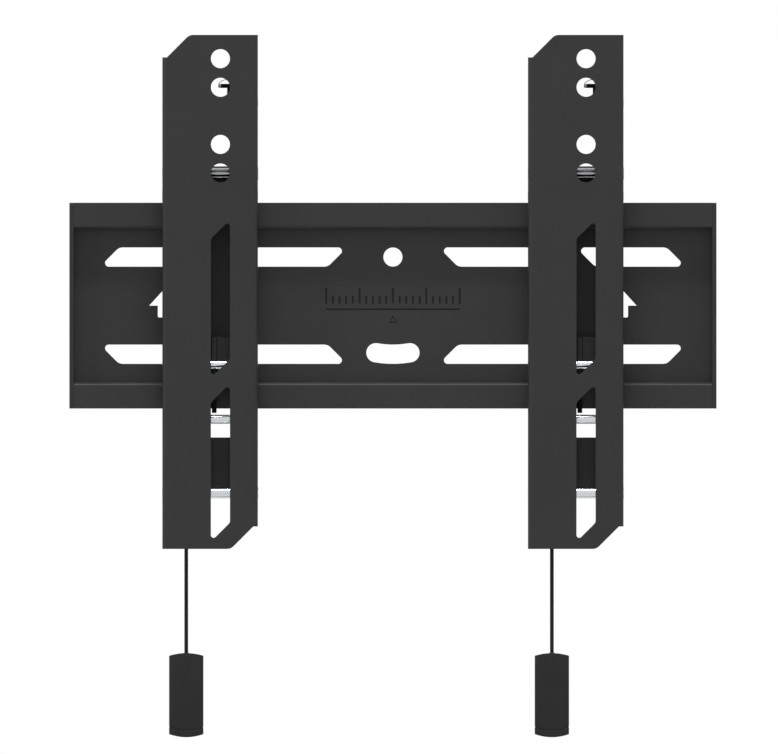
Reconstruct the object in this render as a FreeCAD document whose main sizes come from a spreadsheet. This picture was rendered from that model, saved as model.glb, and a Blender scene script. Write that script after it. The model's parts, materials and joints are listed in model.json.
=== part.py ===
import FreeCAD, Part
import math
import os
import re

import Sketcher

# A flat wall mount for a screen: a folded wall rail with plastic end caps, and two
# hanging arms that slide along it. Each arm hooks over the rail's top lip and is
# locked under its bottom lip by a sprung slider, which a pull cord draws down.
#
# Frame, in millimetres: +X to the right, +Y into the wall, +Z up. The origin is the
# middle of the rail's back face, on the wall. A depth is a distance from the wall
# towards the room, along -Y. Arms are drawn about X = 0 and then placed.

SIZES = {
    "rail_length": (349.2, "folded steel of the wall rail, end to end"),
    "rail_height": (112.6, "from the edge of one lip to the edge of the other"),
    "rail_depth": (14.0, "front of the lips"),
    "band_height": (14.0, "height of a lip as seen from the front"),
    "plate_wall": (1.5, "sheet of the rail"),
    "plate_bend": (0.3, "inside radius of the rail's bends"),
    "slot_row": (26.58, "height of a row of screw slots above or below the middle"),
    "slot_width": (10.5, "width of each screw slot"),
    "slot_length": (60.1, "length of a screw slot between its sharp corners"),
    "slot_tip": (2.0, "rounding of a slot's sharp corners"),
    "slot_heel": (5.0, "rounding of a slot's blunt corners"),
    "inner_slot": (25.1, "start of the slots nearer the middle"),
    "outer_slot": (100.15, "start of the slots nearer the ends"),
    "centre_hole": (5.2, "radius of the centring hole"),
    "arc_reach": (9.3, "half the spread of the levelling slot's end centres"),
    "arrow_place": (124.4, "middle of an arrow window from the middle of the rail"),
    "arrow_span": (17.8, "width of an arrow's head"),
    "arrow_tip": (9.8, "height of an arrow's head"),
    "arrow_stem": (8.4, "width of an arrow's stem"),
    "arrow_tail": (6.45, "length of an arrow's stem"),
    "arrow_round": (0.8, "rounding of the stem's foot"),
    "cap_wall": (2.4, "thickness of an end cap outside the sheet"),
    "cap_round": (1.0, "rounding of an end cap's front corners"),
    "plug_length": (8.0, "reach of the cap's plugs behind the lips"),
    "plug_depth": (4.0, "plug from front to back"),
    "plug_height": (9.5, "plug from bottom to top"),
    "plug_gap": (0.1, "plug to the sheet beside it"),
    "arm_pitch": (200.0, "from the middle of one arm to the middle of the other"),
    "arm_width": (52.3, "outside width of an arm"),
    "arm_height": (281.2, "length of an arm"),
    "arm_bottom": (-133.1, "height of an arm's lower end"),
    "arm_front": (35.0, "depth of an arm's front face"),
    "arm_wall": (2.0, "sheet of an arm"),
    "arm_bend": (0.5, "inside radius of an arm's bends"),
    "arm_gap": (0.3, "arm's flanges to the front of the lips"),
    "corner_cut": (12.3, "the sloping corner cut, up and along"),
    "corner_edge": (2.5, "straight part of a flange's end before that cut"),
    "corner_round": (5.0, "rounding where the cut meets the end"),
    "cut_margin": (6.0, "how far cutting shapes run past the sheet"),
    "hole_line": (5.65, "line of the screen holes beside the arm's middle"),
    "hole_radius": (5.2, "screen holes"),
    "hole_drop": (13.0, "from the arm's top down to the highest screen hole"),
    "hole_pitch": (15.65, "step within a pair of screen holes"),
    "pair_pitch": (46.9, "step from one pair of screen holes to the next"),
    "window_width": (10.45, "width of the long screen slots"),
    "window_tip": (1.5, "rounding of their sharp corners"),
    "window_heel": (3.0, "rounding of their blunt corners"),
    "upper_window": (47.0, "top of the upper long slot"),
    "upper_length": (86.6, "length of the upper long slot"),
    "lower_window": (-42.6, "top of the lower long slot"),
    "lower_length": (86.5, "length of the lower long slot"),
    "hang_gap": (0.3, "lips to the hooks that hold them"),
    "hook_back": (4.0, "back of the hook bracket's web"),
    "hook_front": (31.5, "front edge of its cheeks"),
    "hook_wall": (2.5, "sheet of the hook bracket"),
    "hook_bend": (1.0, "inside radius of its bends"),
    "hook_low": (-10.95, "lower ends of its fingers, above the top lip's edge"),
    "hook_top": (19.9, "top of the hook bracket, above that edge"),
    "hook_lead": (1.6, "lead-in at the mouth of its notches"),
    "hook_corner": (4.0, "bevel of its front corners"),
    "pin_radius": (3.0, "hook pin and guide pin"),
    "pin_proud": (0.28, "end of those pins outside the right flange"),
    "pin_fit": (0.05, "radial room of a pin in a wall that holds it"),
    "hook_pin_depth": (22.0, "hook pin in front of the wall"),
    "hook_pin_high": (16.0, "hook pin above the top lip's edge"),
    "bar_radius": (2.5, "stop pin and cord bar"),
    "bar_depth": (22.4, "stop pin, cord bar and cord in front of the wall"),
    "stop_high": (23.85, "stop pin above the bottom lip's edge"),
    "bar_high": (-5.85, "cord bar above that edge"),
    "guide_depth": (27.5, "guide pin in front of the wall"),
    "guide_high": (-46.2, "guide pin above the bottom lip's edge"),
    "travel": (6.0, "travel of the lock slider"),
    "slide_room": (0.3, "pins to the slots they run in"),
    "lock_wall": (2.5, "sheet of the lock slider"),
    "lock_bend": (0.5, "inside radius of its bends"),
    "lock_relief": (0.2, "step from a bend to a free edge"),
    "lock_side": (0.5, "slider to the arm's flanges"),
    "lock_back": (14.5, "back of the slider"),
    "lock_front": (32.0, "front of the slider"),
    "lock_top": (39.1, "top of the slider, above the bottom lip's edge as are the next five"),
    "lock_low": (-54.35, "lower end of the slider"),
    "panel_low": (26.2, "lower edge of its panel"),
    "web_top": (-15.8, "upper edge of its back web"),
    "web_low": (-43.65, "lower edge of its back web"),
    "bar_cheek": (-0.25, "top of its left cheek"),
    "cheek_place": (1.0, "left face of its middle hook"),
    "cheek_round": (3.0, "rounding of its cheeks' corners"),
    "nose_front": (12.0, "front of a hook's nose"),
    "nose_back": (7.2, "back of a hook's nose"),
    "nose_tip": (4.65, "a nose's tip above the bottom lip's edge"),
    "nose_rise": (5.0, "height of a nose's sloping back"),
    "nose_low": (-2.35, "underside of the middle hook, above that edge"),
    "anchor_place": (-13.05, "cord beside the arm's middle"),
    "anchor_ring": (4.3, "radius of the anchor's eye"),
    "anchor_width": (6.0, "width of that eye"),
    "anchor_neck": (2.6, "radius of its neck"),
    "anchor_low": (-20.85, "lower end of its neck, above the bottom lip's edge"),
    "cord_radius": (1.05, "pull cord"),
    "cord_tuck": (6.0, "cord inside the handle"),
    "spring_place": (-6.6, "return spring beside the arm's middle"),
    "spring_radius": (2.4, "middle of its coils"),
    "spring_wire": (0.45, "radius of its wire"),
    "spring_turns": (7, "number of its turns"),
    "wire_steps": (8, "straight runs in a turn of wire"),
    "handle_width": (18.8, "pull handle"),
    "handle_depth": (10.5, "pull handle from front to back"),
    "handle_top": (-190.05, "crown of its upper end"),
    "handle_low": (-236.1, "crown of its lower end"),
    "handle_crown": (1.3, "rise of its upper end"),
    "handle_belly": (1.55, "drop of its lower end"),
    "handle_round": (2.2, "rounding of its upright edges"),
    "magnet_height": (4.0, "magnet foot of the handle"),
    "clip_place": (9.3, "left face of the cord clip's leaf"),
    "clip_leaf": (2.0, "thickness of that leaf"),
    "clip_tip": (4.5, "tip of the clip's finger"),
    "clip_finger": (2.3, "thickness of the finger"),
    "clip_top": (1.9, "top of the finger, above the middle of the second screen hole"),
    "clip_low": (-15.35, "lower edge of the clip's foot, above that middle"),
    "clip_foot": (3.0, "thickness of that foot"),
    "clip_depth": (6.0, "clip from front to back"),
    "clip_back": (22.0, "back face of the clip"),
}

ARMS = (("left", -1), ("right", 1))
WIRE_SIDES = 4
MITRED = 1

doc = FreeCAD.newDocument("screen_mount")
sheet = doc.addObject("Spreadsheet::Sheet", "Sizes")
for row, (name, (size, meaning)) in enumerate(SIZES.items(), start=1):
    sheet.set(f"A{row}", name)
    sheet.set(f"B{row}", str(size))
    sheet.set(f"C{row}", meaning)
    sheet.setAlias(f"B{row}", name)
doc.recompute()

nodes = []


def formula(text):
    """Point each size that a formula names at its cell in the sheet."""
    def cell(word):
        return f"Sizes.{word.group()}" if word.group() in SIZES else word.group()
    return re.sub(r"[a-z_]+", cell, text)


def number(text):
    """The present value of a formula."""
    return float(sheet.evalExpression(formula(text)))


def bind(thing, prop, text):
    """Tie a property to a formula."""
    thing.setExpression(prop, formula(text))


def place(thing, side, depth="0", height="0", sideways="0"):
    """Put a part on its arm, at a depth from the wall and a height."""
    bind(thing, "Placement.Base.x", f"{side} * arm_pitch / 2 + {sideways}")
    bind(thing, "Placement.Base.y", f"-({depth})")
    bind(thing, "Placement.Base.z", height)


def node(thing, label):
    """Give a finished part its own name and keep it for the export."""
    thing.Label = label
    nodes.append(thing)
    return thing


def new_body():
    return doc.addObject("PartDesign::Body", "Body")


def origin_plane(body, role):
    return [item for item in body.Origin.OriginFeatures if item.Role == role][0]


def sketch_on(body, role, offset="0"):
    """A sketch on one of the body's planes, moved along that plane's normal."""
    sketch = body.newObject("Sketcher::SketchObject", "Sketch")
    sketch.AttachmentSupport = (origin_plane(body, role), [""])
    sketch.MapMode = "FlatFace"
    bind(sketch, "AttachmentOffset.Base.z", offset)
    return sketch


def hold(sketch, kind, text, *where):
    """Add one dimension to a sketch and tie it to its formula."""
    index = sketch.addConstraint(Sketcher.Constraint(kind, *where, number(text)))
    bind(sketch, f"Constraints[{index}]", text)


def pin_point(sketch, geometry, point, x, y):
    hold(sketch, "DistanceX", x, geometry, point)
    hold(sketch, "DistanceY", y, geometry, point)


def arc_about(sketch, centre, radius, start, stop):
    """An arc about a centre, anticlockwise between two angles in degrees."""
    ring = Part.Circle(centre, FreeCAD.Vector(0, 0, 1), radius)
    return sketch.addGeometry(Part.ArcOfCircle(ring, math.radians(start), math.radians(stop)))


def short_arc(sketch, centre, first, last):
    """The shorter arc between two spots, and which of its ends is at the first."""
    angles = [math.degrees(math.atan2(spot.y - centre.y, spot.x - centre.x)) for spot in (first, last)]
    sweep = (angles[1] - angles[0]) % 360
    radius = (first - centre).Length
    if sweep < 180:
        return arc_about(sketch, centre, radius, angles[0], angles[0] + sweep), 1
    return arc_about(sketch, centre, radius, angles[1], angles[1] + 360 - sweep), 2


def outline(sketch, corners):
    """A closed outline; a corner is x, y and, where it is rounded, a radius."""
    spots = [FreeCAD.Vector(number(c[0]), number(c[1]), 0) for c in corners]
    count = len(corners)
    reach = []
    for k, corner in enumerate(corners):
        back = (spots[k - 1] - spots[k]).normalize()
        ahead = (spots[(k + 1) % count] - spots[k]).normalize()
        half = back.getAngle(ahead) / 2
        round_off = number(corner[2]) / math.tan(half) if len(corner) > 2 else 0
        reach.append((spots[k] + back * round_off, spots[k] + ahead * round_off))
    first = sketch.GeometryCount
    for k in range(count):
        sketch.addGeometry(Part.LineSegment(reach[k][1], reach[(k + 1) % count][0]))
    for k, corner in enumerate(corners):
        before = first + (k - 1) % count
        after = first + k
        if len(corner) == 2:
            sketch.addConstraint(Sketcher.Constraint("Coincident", before, 2, after, 1))
            pin_point(sketch, after, 1, *corner)
            continue
        inwards = (reach[k][0] + reach[k][1] - spots[k] * 2).normalize()
        half = (reach[k][0] - spots[k]).getAngle(inwards)
        centre = spots[k] + inwards * (number(corner[2]) / math.sin(half))
        arc, start = short_arc(sketch, centre, *reach[k])
        spot = sketch.addGeometry(Part.Point(spots[k]), True)
        sketch.addConstraint([
            Sketcher.Constraint("Tangent", before, 2, arc, start),
            Sketcher.Constraint("Tangent", after, 1, arc, 3 - start),
            Sketcher.Constraint("PointOnObject", spot, 1, before),
            Sketcher.Constraint("PointOnObject", spot, 1, after),
        ])
        pin_point(sketch, spot, 1, corner[0], corner[1])
        hold(sketch, "Radius", corner[2], arc)


def circle(sketch, x, y, radius):
    spot = FreeCAD.Vector(number(x), number(y), 0)
    ring = sketch.addGeometry(Part.Circle(spot, FreeCAD.Vector(0, 0, 1), number(radius)))
    pin_point(sketch, ring, 3, x, y)
    hold(sketch, "Radius", radius, ring)


def run_slot(sketch, x, low, high, radius):
    """An upright slot with round ends; low and high are the ends' centres."""
    mid, size = number(x), number(radius)
    lower = arc_about(sketch, FreeCAD.Vector(mid, number(low), 0), size, 180, 360)
    upper = arc_about(sketch, FreeCAD.Vector(mid, number(high), 0), size, 0, 180)
    for side, low_end, high_end in ((-1, 1, 2), (1, 2, 1)):
        line = sketch.addGeometry(Part.LineSegment(
            FreeCAD.Vector(mid + side * size, number(low), 0),
            FreeCAD.Vector(mid + side * size, number(high), 0)))
        sketch.addConstraint(Sketcher.Constraint("Tangent", line, 1, lower, low_end))
        sketch.addConstraint(Sketcher.Constraint("Tangent", line, 2, upper, high_end))
    pin_point(sketch, lower, 3, x, low)
    pin_point(sketch, upper, 3, x, high)
    hold(sketch, "Radius", radius, lower)
    hold(sketch, "Radius", radius, upper)


def pad(body, sketch, length, both_ways=False):
    feature = body.newObject("PartDesign::Pad", "Pad")
    feature.Profile = sketch
    feature.SideType = "Symmetric" if both_ways else "One side"
    bind(feature, "Length", length)
    return feature


def cut_through(body, sketch):
    """Cut a sketch right through the body, both ways."""
    doc.recompute()
    before = body.Shape.Volume
    feature = body.newObject("PartDesign::Pocket", "Pocket")
    feature.Profile = sketch
    feature.Type = "ThroughAll"
    feature.SideType = "Symmetric"
    doc.recompute()
    if body.Shape.Volume >= before:
        raise RuntimeError(f"{sketch.Name} cuts nothing")
    return feature


def cut_ahead(body, sketch):
    """Cut a sketch through what lies on the upper side of its plane."""
    feature = body.newObject("PartDesign::Pocket", "Pocket")
    feature.Profile = sketch
    feature.Type = "ThroughAll"
    feature.SideType = "One side"
    feature.Reversed = True
    return feature


def upright_edges(shape, spots, axis):
    """Names of the straight edges along an axis that pass over given spots."""
    names = []
    for k, edge in enumerate(shape.Edges, start=1):
        start, stop = edge.Vertexes[0].Point, edge.Vertexes[-1].Point
        along = stop - start
        if along.Length < 1e-6 or abs(along.dot(axis)) < along.Length * 0.9999:
            continue
        if any((start - spot).cross(axis).Length < 1e-3 for spot in spots):
            names.append(f"Edge{k}")
    return names


def dress_edges(body, kind, spots, axis, prop, size):
    """Round or bevel the edges along an axis that pass over given spots."""
    doc.recompute()
    base = body.Tip
    names = upright_edges(base.Shape, spots, axis)
    if len(names) < len(spots):
        raise RuntimeError("an edge to dress isn't there")
    feature = body.newObject(kind, "Dressed")
    feature.Base = (base, names)
    bind(feature, prop, size)


EDGE = "(rail_height / 2)"
SHELF = "(rail_height / 2 - band_height)"
LIP_BACK = "(rail_depth - plate_wall)"
PLATE_OUTER = "plate_bend + plate_wall"
FLANGE_BACK = "(rail_depth + arm_gap)"
ARM_INNER = "(arm_width / 2 - arm_wall)"
LOCK_HALF = "(arm_width / 2 - arm_wall - lock_side)"
LOCK_FOLD = "(lock_wall + lock_bend + lock_relief)"
HOLE_TOP = "(arm_bottom + arm_height - hole_drop)"


def slanted_slot(sketch, start, row):
    """A screw slot with both ends cut at 45 degrees."""
    upper = f"{row} * (slot_row + slot_width / 2)"
    lower = f"{row} * (slot_row - slot_width / 2)"
    outline(sketch, [
        (start, upper, "slot_tip"),
        (f"{start} + slot_length - slot_width", upper, "slot_heel"),
        (f"{start} + slot_length", lower, "slot_tip"),
        (f"{start} + slot_width", lower, "slot_heel"),
    ])


def arrow_window(sketch):
    """An arrow that points up, beside the right arm."""
    outline(sketch, [
        ("arrow_place", "arrow_tip"),
        ("arrow_place + arrow_span / 2", "0"),
        ("arrow_place + arrow_stem / 2", "0"),
        ("arrow_place + arrow_stem / 2", "-arrow_tail", "arrow_round"),
        ("arrow_place - arrow_stem / 2", "-arrow_tail", "arrow_round"),
        ("arrow_place - arrow_stem / 2", "0"),
        ("arrow_place - arrow_span / 2", "0"),
    ])


def levelling_slot(sketch):
    """A curved slot under the centring hole, struck from that hole."""
    swing = number("2 * slot_row")
    half = number("slot_width / 2")
    middle = FreeCAD.Vector(0, number("slot_row"), 0)
    lean = math.degrees(math.asin(number("arc_reach") / swing))
    far = arc_about(sketch, middle, swing + half, -90 - lean, -90 + lean)
    near = arc_about(sketch, middle, swing - half, -90 - lean, -90 + lean)
    for side, far_end, near_end in ((1, 2, 2), (-1, 1, 1)):
        heading = math.radians(-90 + side * lean)
        centre = middle + FreeCAD.Vector(math.cos(heading), math.sin(heading), 0) * swing
        turn = -90 + lean if side > 0 else 90 - lean
        end = arc_about(sketch, centre, half, turn, turn + 180)
        sketch.addConstraint([
            Sketcher.Constraint("Tangent", end, 1 if side > 0 else 2, far, far_end),
            Sketcher.Constraint("Tangent", end, 2 if side > 0 else 1, near, near_end),
        ])
        hold(sketch, "DistanceX", f"{side} * arc_reach", end, 3)
    sketch.addConstraint(Sketcher.Constraint("Coincident", far, 3, near, 3))
    pin_point(sketch, far, 3, "0", "slot_row")
    hold(sketch, "Radius", "2 * slot_row + slot_width / 2", far)
    hold(sketch, "Radius", "2 * slot_row - slot_width / 2", near)


def wall_plate():
    body = new_body()
    profile = sketch_on(body, "YZ_Plane")
    upper = [
        ("0", f"{SHELF} + plate_wall", PLATE_OUTER),
        (f"-{LIP_BACK}", f"{SHELF} + plate_wall", "plate_bend"),
        (f"-{LIP_BACK}", "rail_height / 2"),
        ("-rail_depth", "rail_height / 2"),
        ("-rail_depth", SHELF, PLATE_OUTER),
        ("-plate_wall", SHELF, "plate_bend"),
    ]
    lower = [(corner[0], f"-({corner[1]})", *corner[2:]) for corner in reversed(upper)]
    outline(profile, upper + lower)
    pad(body, profile, "rail_length", both_ways=True)
    windows = sketch_on(body, "XZ_Plane")
    for row in (1, -1):
        slanted_slot(windows, "inner_slot", row)
        slanted_slot(windows, "outer_slot", row)
    arrow_window(windows)
    right_windows = cut_through(body, windows)
    left_windows = body.newObject("PartDesign::Mirrored", "Mirrored")
    left_windows.Originals = [right_windows]
    left_windows.MirrorPlane = (origin_plane(body, "YZ_Plane"), [""])
    body.Tip = left_windows
    middle = sketch_on(body, "XZ_Plane")
    circle(middle, "0", "slot_row", "centre_hole")
    levelling_slot(middle)
    cut_through(body, middle)
    return node(body, "wall_plate")


def end_cap(name, side):
    """A moulded cap over one end of the rail, with a plug behind each lip."""
    body = new_body()
    wall = sketch_on(body, "YZ_Plane", "rail_length / 2" if side > 0 else "-rail_length / 2 - cap_wall")
    outline(wall, [
        ("0", "-rail_height / 2"),
        ("0", "rail_height / 2"),
        ("-rail_depth", "rail_height / 2", "cap_round"),
        ("-rail_depth", "-rail_height / 2", "cap_round"),
    ])
    pad(body, wall, "cap_wall")
    plugs = sketch_on(body, "YZ_Plane", "rail_length / 2 - plug_length" if side > 0 else "-rail_length / 2")
    foot = f"{SHELF} + plate_wall + plug_gap"
    for row in (1, -1):
        outline(plugs, [
            (f"-({LIP_BACK} - plug_gap)", f"{row} * ({foot})"),
            (f"-({LIP_BACK} - plug_gap)", f"{row} * ({foot} + plug_height)"),
            (f"-({LIP_BACK} - plug_gap - plug_depth)", f"{row} * ({foot} + plug_height)"),
            (f"-({LIP_BACK} - plug_gap - plug_depth)", f"{row} * ({foot})"),
        ])
    pad(body, plugs, "plug_length")
    return node(body, f"{name}_end_cap")


def long_slot(sketch, top, length):
    """A screen slot whose slanted ends rise to the right."""
    left = "hole_line - window_width / 2"
    right = "hole_line + window_width / 2"
    outline(sketch, [
        (right, top, "window_tip"),
        (left, f"{top} - window_width", "window_heel"),
        (left, f"{top} - {length}", "window_tip"),
        (right, f"{top} - {length} + window_width", "window_heel"),
    ])


def corner_cuts(sketch):
    """The sloping cuts at an arm's upper left and lower right corners."""
    for turn in (1, -1):
        def spot(along, up, *rounding):
            return (f"{turn} * ({along})", f"arm_bottom + arm_height / 2 + {turn} * ({up})", *rounding)
        edge = "-arm_width / 2 + corner_edge"
        outline(sketch, [
            spot("-arm_width / 2 - cut_margin", "arm_height / 2 - corner_cut"),
            spot(edge, "arm_height / 2 - corner_cut"),
            spot(f"{edge} + corner_cut", "arm_height / 2", "corner_round"),
            spot(f"{edge} + corner_cut + cut_margin", "arm_height / 2"),
            spot(f"{edge} + corner_cut + cut_margin", "arm_height / 2 + cut_margin"),
            spot("-arm_width / 2 - cut_margin", "arm_height / 2 + cut_margin"),
        ])


def arm_channel(name, side):
    """The folded channel that the screen is bolted to."""
    body = new_body()
    profile = sketch_on(body, "XY_Plane", "arm_bottom")
    outer = "arm_bend + arm_wall"
    right = [
        ("arm_width / 2", "-arm_front", outer),
        ("arm_width / 2", f"-{FLANGE_BACK}"),
        (ARM_INNER, f"-{FLANGE_BACK}"),
        (ARM_INNER, "-(arm_front - arm_wall)", "arm_bend"),
    ]
    left = [(f"-({corner[0]})", *corner[1:]) for corner in reversed(right)]
    outline(profile, right + left)
    pad(body, profile, "arm_height")
    corners = sketch_on(body, "XZ_Plane")
    corner_cuts(corners)
    cut_through(body, corners)
    screen = sketch_on(body, "XZ_Plane")
    for drop in ("0", "hole_pitch", "pair_pitch", "pair_pitch + hole_pitch"):
        circle(screen, "hole_line", f"{HOLE_TOP} - ({drop})", "hole_radius")
    long_slot(screen, "upper_window", "upper_length")
    long_slot(screen, "lower_window", "lower_length")
    cut_through(body, screen)
    pins = sketch_on(body, "YZ_Plane", f"{ARM_INNER} - arm_wall")
    circle(pins, "-hook_pin_depth", f"{EDGE} + hook_pin_high", "pin_radius + pin_fit")
    circle(pins, "-guide_depth", f"guide_high - {EDGE}", "pin_radius + pin_fit")
    cut_ahead(body, pins)
    place(body, side)
    return node(body, f"{name}_arm_channel")


def hook_bracket(name, side):
    """The folded bracket inside an arm that hangs over the rail's top lip."""
    body = new_body()
    profile = sketch_on(body, "XY_Plane", "hook_low")
    right = [
        (ARM_INNER, "-hook_back", "hook_bend + hook_wall"),
        (ARM_INNER, "-hook_front"),
        (f"{ARM_INNER} - hook_wall", "-hook_front"),
        (f"{ARM_INNER} - hook_wall", "-(hook_back + hook_wall)", "hook_bend"),
    ]
    left = [(f"-({corner[0]})", *corner[1:]) for corner in reversed(right)]
    outline(profile, right + left)
    pad(body, profile, "hook_top - hook_low")
    notch = sketch_on(body, "YZ_Plane")
    finger = f"{LIP_BACK} - hang_gap"
    outline(notch, [
        (f"-{FLANGE_BACK}", "hook_low - cut_margin"),
        (f"-{FLANGE_BACK}", "hang_gap"),
        (f"-({finger})", "hang_gap"),
        (f"-({finger})", "hook_low + 2 * hook_lead"),
        (f"-({finger} - hook_lead)", "hook_low"),
        (f"-({finger} - hook_lead)", "hook_low - cut_margin"),
    ])
    cut_through(body, notch)
    pins = sketch_on(body, "YZ_Plane")
    circle(pins, "-hook_pin_depth", "hook_pin_high", "pin_radius + pin_fit")
    cut_through(body, pins)
    front = -number("hook_front")
    spots = [FreeCAD.Vector(0, front, number(height)) for height in ("hook_top", "hook_low")]
    dress_edges(body, "PartDesign::Chamfer", spots, FreeCAD.Vector(1, 0, 0), "Size", "hook_corner")
    place(body, side, "0", EDGE)
    return node(body, f"{name}_hook_bracket")


def cylinder(radius, length, turn=None):
    """A cylinder along Z, or turned to lie along X."""
    piece = doc.addObject("Part::Cylinder", "Cylinder")
    bind(piece, "Radius", radius)
    bind(piece, "Height", length)
    if turn:
        piece.Placement.Rotation = FreeCAD.Rotation(FreeCAD.Vector(0, 1, 0), turn)
    return piece


def cross_pin(name, side, radius, left, right, depth, height):
    """A pin across an arm, from one end to the other beside the arm's middle."""
    pin = cylinder(radius, f"{left} + {right}", 90)
    place(pin, side, depth, height, f"-({left})")
    return node(pin, name)


def leg_back():
    """A leg's back edge: past the panel's fold, then down to a nose under and behind the lip."""
    return [
        (f"-(lock_back + {LOCK_FOLD})", "lock_top"),
        (f"-(lock_back + {LOCK_FOLD})", "panel_low"),
        ("-lock_back", f"panel_low - {LOCK_FOLD}"),
        ("-lock_back", "-hang_gap"),
        ("-nose_front", "-hang_gap"),
        ("-nose_front", "nose_tip"),
        ("-nose_back", "nose_tip - nose_rise"),
        ("-nose_back", "nose_low"),
    ]


def slider_cheek(sketch):
    """The right cheek: a long wall with a hook and the slots for two pins."""
    outline(sketch, leg_back() + [
        (f"-(lock_back + {LOCK_FOLD})", f"nose_low - (lock_back + {LOCK_FOLD} - nose_back)"),
        (f"-(lock_back + {LOCK_FOLD})", "lock_low", "cheek_round"),
        ("-lock_front", "lock_low", "cheek_round"),
        ("-lock_front", "lock_top", "cheek_round"),
    ])


def middle_hook(sketch):
    """The hook under the panel's left edge, behind the stop pin."""
    front = "(bar_depth - bar_radius - slide_room)"
    outline(sketch, leg_back() + [
        (f"-{front}", "nose_low"),
        (f"-{front}", "lock_top"),
    ])


def folded_strip(body, left, right, low, high):
    """A strip across the slider's back, folded forward at both ends."""
    profile = sketch_on(body, "XY_Plane", low)
    inner = "-(lock_back + lock_wall)"
    tail = f"-(lock_back + {LOCK_FOLD} + lock_wall / 2)"
    outline(profile, [
        (left, "-lock_back", "lock_wall + lock_bend"),
        (right, "-lock_back", "lock_wall + lock_bend"),
        (right, tail),
        (f"{right} - lock_wall", tail),
        (f"{right} - lock_wall", inner, "lock_bend"),
        (f"{left} + lock_wall", inner, "lock_bend"),
        (f"{left} + lock_wall", tail),
        (left, tail),
    ])
    pad(body, profile, f"{high} - ({low})")


def lock_slider(name, side):
    """The folded slider that locks an arm under the rail's bottom lip."""
    body = new_body()
    folded_strip(body, "cheek_place", LOCK_HALF, "panel_low", "lock_top")
    cheek = sketch_on(body, "YZ_Plane", f"{LOCK_HALF} - lock_wall")
    slider_cheek(cheek)
    pad(body, cheek, "lock_wall")
    folded_strip(body, f"-{LOCK_HALF}", LOCK_HALF, "web_low", "web_top")
    hook = sketch_on(body, "YZ_Plane", "cheek_place")
    middle_hook(hook)
    pad(body, hook, "lock_wall")
    wing = sketch_on(body, "YZ_Plane", f"-{LOCK_HALF}")
    outline(wing, [
        (f"-(lock_back + {LOCK_FOLD})", "lock_low", "cheek_round"),
        (f"-(lock_back + {LOCK_FOLD})", "bar_cheek"),
        ("-lock_front", "bar_cheek"),
        ("-lock_front", "lock_low", "cheek_round"),
    ])
    pad(body, wing, "lock_wall")
    slots = sketch_on(body, "YZ_Plane")
    run_slot(slots, "-guide_depth", "guide_high", "guide_high + travel", "pin_radius + slide_room")
    cut_through(body, slots)
    stop = sketch_on(body, "YZ_Plane", f"{LOCK_HALF} - lock_wall / 2")
    run_slot(stop, "-bar_depth", "stop_high", "stop_high + travel", "bar_radius + slide_room")
    cutter = body.newObject("PartDesign::Pocket", "Pocket")
    cutter.Profile = stop
    cutter.SideType = "Symmetric"
    bind(cutter, "Length", "2 * lock_wall")
    place(body, side, "0", f"-{EDGE}")
    return node(body, f"{name}_lock_slider")


def cord_anchor(name, side):
    """A moulded eye on the cord bar; the cord is moulded into its neck."""
    body = new_body()
    shape = sketch_on(body, "YZ_Plane", "-anchor_width / 2")
    eye = number("anchor_ring")
    neck = number("anchor_neck")
    low = number("anchor_low - bar_high")
    lean = math.degrees(math.asin(neck / eye))
    ring = arc_about(shape, FreeCAD.Vector(0, 0, 0), eye, -90 + lean, 270 - lean)
    spots = [FreeCAD.Vector(-neck, -math.sqrt(eye ** 2 - neck ** 2), 0), FreeCAD.Vector(-neck, low, 0),
             FreeCAD.Vector(neck, low, 0), FreeCAD.Vector(neck, -math.sqrt(eye ** 2 - neck ** 2), 0)]
    lines = [shape.addGeometry(Part.LineSegment(*spots[k:k + 2])) for k in range(3)]
    shape.addConstraint([
        Sketcher.Constraint("Coincident", ring, 2, lines[0], 1),
        Sketcher.Constraint("Coincident", lines[0], 2, lines[1], 1),
        Sketcher.Constraint("Coincident", lines[1], 2, lines[2], 1),
        Sketcher.Constraint("Coincident", lines[2], 2, ring, 1),
        Sketcher.Constraint("Vertical", lines[0]),
        Sketcher.Constraint("Vertical", lines[2]),
    ])
    pin_point(shape, ring, 3, "0", "0")
    hold(shape, "Radius", "anchor_ring", ring)
    pin_point(shape, lines[1], 1, "-anchor_neck", "anchor_low - bar_high")
    pin_point(shape, lines[1], 2, "anchor_neck", "anchor_low - bar_high")
    circle(shape, "0", "0", "bar_radius + pin_fit")
    pad(body, shape, "anchor_width")
    place(body, side, "bar_depth", f"bar_high - {EDGE}", "anchor_place")
    return node(body, f"{name}_cord_anchor")


def pull_cord(name, side):
    cord = cylinder("cord_radius", f"anchor_low - {EDGE} - handle_top + cord_tuck")
    place(cord, side, "bar_depth", "handle_top - cord_tuck", "anchor_place")
    return node(cord, f"{name}_pull_cord")


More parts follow.
